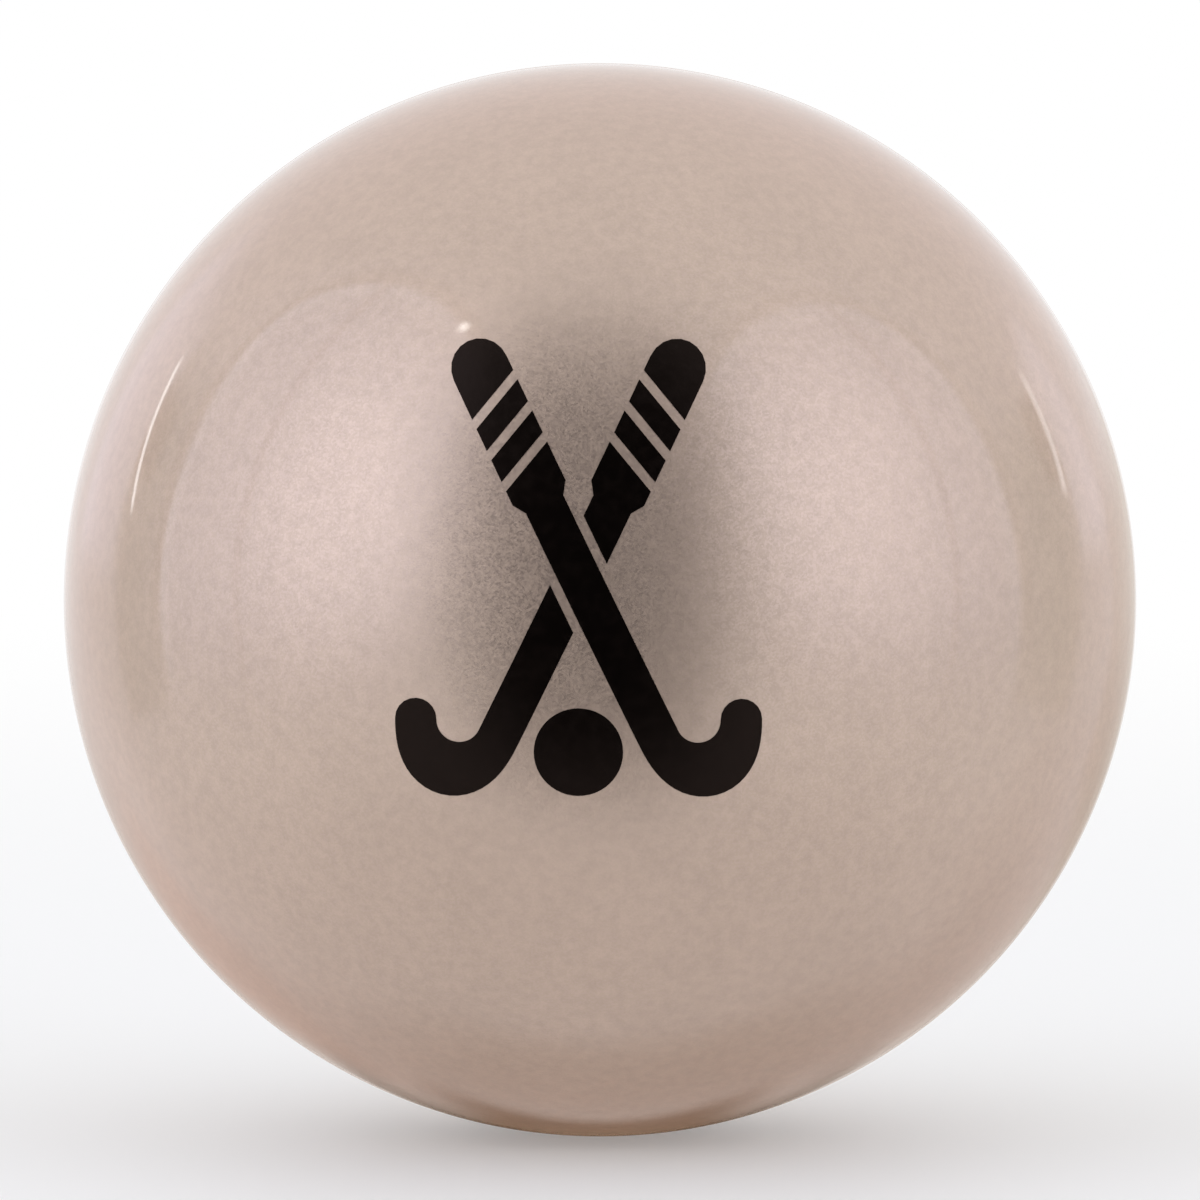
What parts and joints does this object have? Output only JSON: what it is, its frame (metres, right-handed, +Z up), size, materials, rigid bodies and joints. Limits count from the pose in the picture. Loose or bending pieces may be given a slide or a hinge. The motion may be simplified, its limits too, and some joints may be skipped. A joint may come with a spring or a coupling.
{
  "type": "field hockey ball",
  "caption": "Smooth, hard, round ball for field hockey: a thick-walled hollow plastic moulding under a glossy champagne pearl lacquer.",
  "frame": {"origin": "centre of the ball", "axes": "+Z up; the ball is round about every axis, and its parting line is the great circle in the XZ plane, so the ball is a body of revolution about Y; -Y is the printed side, which faces the viewer in the picture"},
  "size_m": [0.0732, 0.0732, 0.0732],
  "materials": {
    "pearl_lacquer": "gloss",
    "print_ink": "gloss"
  },
  "bodies": {
    "root": {"ball": "pearl_lacquer"}
  },
  "joints": []
}
